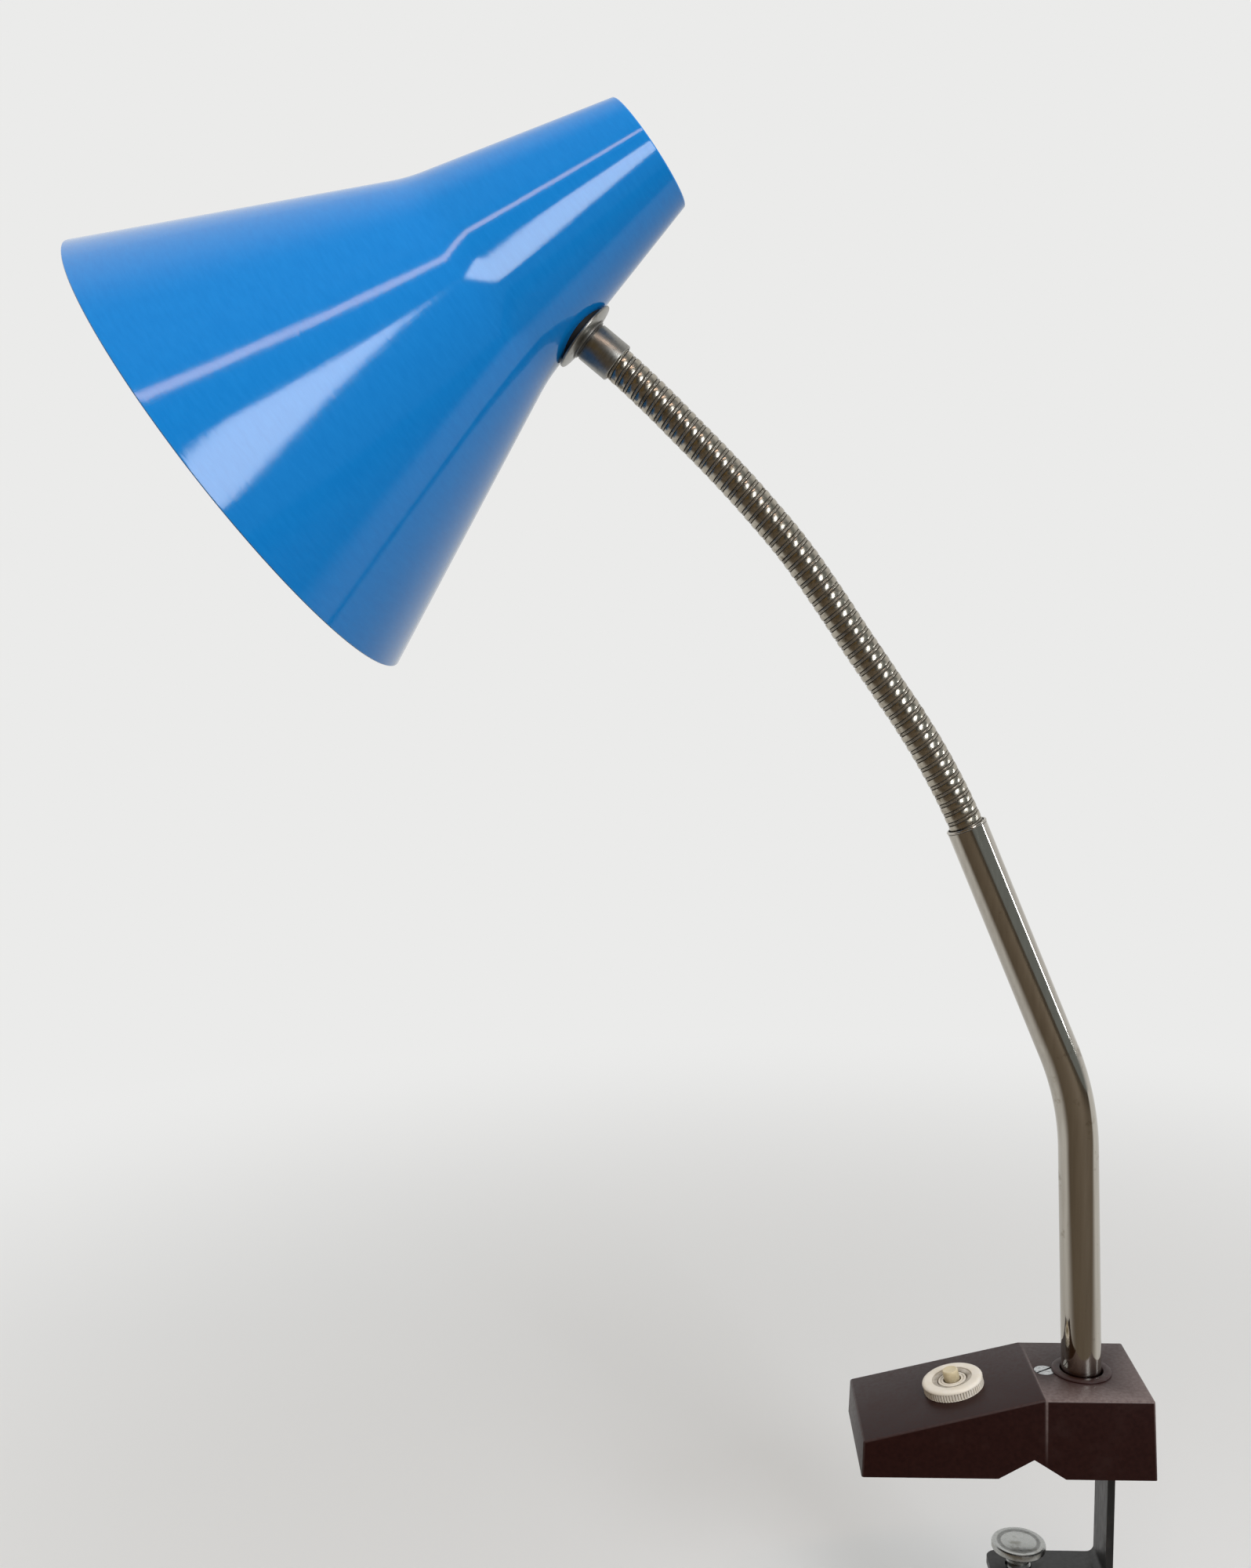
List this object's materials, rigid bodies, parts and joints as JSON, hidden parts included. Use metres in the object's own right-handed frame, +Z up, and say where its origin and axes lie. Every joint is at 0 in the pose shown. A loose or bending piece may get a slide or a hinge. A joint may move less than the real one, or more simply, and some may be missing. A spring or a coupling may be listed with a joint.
{
  "type": "clamp-on workshop lamp",
  "caption": "Workshop lamp that clamps to a table edge, with a bent steel post, a flexible ribbed neck and a blue two-cone metal shade.",
  "frame": {"origin": "on the clamp screw's axis, in the plane of the base's underside, which rests on the table top", "axes": "+Z up along the clamp screw, -X towards the shade, +Y to the side away from the camera"},
  "size_m": [0.4168, 0.1994, 0.6569],
  "materials": {
    "shade_enamel": "gloss blue enamel, spun sheet",
    "dark_bakelite": "satin dark maroon moulded phenolic",
    "cream_plastic": "aged cream moulded plastic",
    "ivory_plastic": "yellowed cream moulded plastic",
    "polished_tube": "polished nickel-plated steel",
    "neck_nickel": "worn nickel-plated strip",
    "satin_steel": "satin turned steel",
    "zinc_steel": "bright zinc plate",
    "black_paint": "black paint",
    "black_phenolic": "black moulded phenolic",
    "black_rubber": "matt black rubber",
    "porcelain": "white glazed porcelain",
    "brass": "plain brass",
    "opal_glass": "opal white glass"
  },
  "bodies": {
    "base": {"base_housing": "dark_bakelite", "bottom_plate": "black_phenolic", "cover_screws": "zinc_steel", "housing_screw": "zinc_steel", "clamp_strap": "black_paint", "clamp_boss": "black_paint", "switch_ring_nut": "cream_plastic", "switch_bush": "cream_plastic", "switch_body": "black_phenolic", "switch_terminals": "brass", "cord_grommet": "black_rubber", "friction_washer": "black_phenolic", "spring_washer": "zinc_steel"},
    "button": {"push_button": "ivory_plastic"},
    "pad": {"clamp_pad": "zinc_steel"},
    "screw": {"clamp_screw": "zinc_steel", "clamp_knob": "black_phenolic"},
    "post": {"post_tube": "polished_tube", "post_foot": "zinc_steel", "stop_washer": "zinc_steel", "post_nut": "zinc_steel", "neck_seat": "neck_nickel"},
    "link_01": {"neck_link_01": "neck_nickel"},
    "link_02": {"neck_link_02": "neck_nickel"},
    "link_03": {"neck_link_03": "neck_nickel"},
    "link_04": {"neck_link_04": "neck_nickel"},
    "link_05": {"neck_link_05": "neck_nickel"},
    "link_06": {"neck_link_06": "neck_nickel"},
    "link_07": {"neck_link_07": "neck_nickel"},
    "link_08": {"neck_link_08": "neck_nickel"},
    "link_09": {"neck_link_09": "neck_nickel"},
    "link_10": {"neck_link_10": "neck_nickel"},
    "link_11": {"neck_link_11": "neck_nickel"},
    "head": {"neck_end": "neck_nickel", "ferrule": "satin_steel", "shade": "shade_enamel", "shade_gasket": "black_rubber", "shade_washer": "satin_steel", "head_nipple": "zinc_steel", "head_washer": "zinc_steel", "head_nut": "zinc_steel", "holder_bracket": "zinc_steel", "holder_nipple": "zinc_steel", "holder_nut": "zinc_steel", "holder_cap": "black_phenolic", "holder_skirt": "black_phenolic", "holder_core": "porcelain", "screw_shell": "brass", "bulb_cap": "brass", "bulb_glass": "opal_glass"}
  },
  "joints": [
    {"name": "clamp_slide", "type": "slide", "parent": "base", "child": "pad", "axis": [0, 0, 1], "range_m": [-0.0054, 0.0414]},
    {"name": "clamp_spin", "type": "hinge", "parent": "pad", "child": "screw", "pos_m": [0, 0, -0.06], "axis": [0, 0, 1], "range_deg": [-655, 4975]},
    {"name": "button_press", "type": "slide", "parent": "base", "child": "button", "axis": [0.2412, 0, -0.9705], "range_m": [0, 0.0024], "stiffness_N_per_m": 700, "springref_m": -0.0012},
    {"name": "post_swivel", "type": "hinge", "parent": "base", "child": "post", "pos_m": [0.024, 0, 0.03], "axis": [0, 0, 1], "range_deg": [-125, 125]},
    {"name": "neck_01", "type": "hinge", "parent": "post", "child": "link_01", "pos_m": [-0.02743, 0, 0.25962], "axis": [0, 1, 0], "range_deg": [-9, 9]},
    {"name": "neck_02", "type": "hinge", "parent": "link_01", "child": "link_02", "pos_m": [-0.0367, 0, 0.27805], "axis": [-0.8771, 0, -0.4802], "range_deg": [-9, 9]},
    {"name": "neck_03", "type": "hinge", "parent": "link_02", "child": "link_03", "pos_m": [-0.04723, 0, 0.29578], "axis": [0, 1, 0], "range_deg": [-9, 9]},
    {"name": "neck_04", "type": "hinge", "parent": "link_03", "child": "link_04", "pos_m": [-0.05876, 0, 0.31288], "axis": [-0.8276, 0, -0.5614], "range_deg": [-9, 9]},
    {"name": "neck_05", "type": "hinge", "parent": "link_04", "child": "link_05", "pos_m": [-0.07039, 0, 0.32992], "axis": [0, 1, 0], "range_deg": [-9, 9]},
    {"name": "neck_06", "type": "hinge", "parent": "link_05", "child": "link_06", "pos_m": [-0.08183, 0, 0.34708], "axis": [-0.8241, 0, -0.5664], "range_deg": [-9, 9]},
    {"name": "neck_07", "type": "hinge", "parent": "link_06", "child": "link_07", "pos_m": [-0.09375, 0, 0.36391], "axis": [0, 1, 0], "range_deg": [-9, 9]},
    {"name": "neck_08", "type": "hinge", "parent": "link_07", "child": "link_08", "pos_m": [-0.10692, 0, 0.37978], "axis": [-0.7559, 0, -0.6547], "range_deg": [-9, 9]},
    {"name": "neck_09", "type": "hinge", "parent": "link_08", "child": "link_09", "pos_m": [-0.12075, 0, 0.39509], "axis": [0, 1, 0], "range_deg": [-9, 9]},
    {"name": "neck_10", "type": "hinge", "parent": "link_09", "child": "link_10", "pos_m": [-0.13515, 0, 0.40985], "axis": [-0.7114, 0, -0.7028], "range_deg": [-9, 9]},
    {"name": "neck_11", "type": "hinge", "parent": "link_10", "child": "link_11", "pos_m": [-0.14974, 0, 0.42443], "axis": [0, 1, 0], "range_deg": [-9, 9]},
    {"name": "neck_12", "type": "hinge", "parent": "link_11", "child": "head", "pos_m": [-0.16494, 0, 0.43836], "axis": [-0.658, 0, -0.753], "range_deg": [-9, 9]}
  ],
  "couplings": [
    {"joint": "clamp_spin", "follows": "clamp_slide", "rad_per_m": 2094.4}
  ]
}
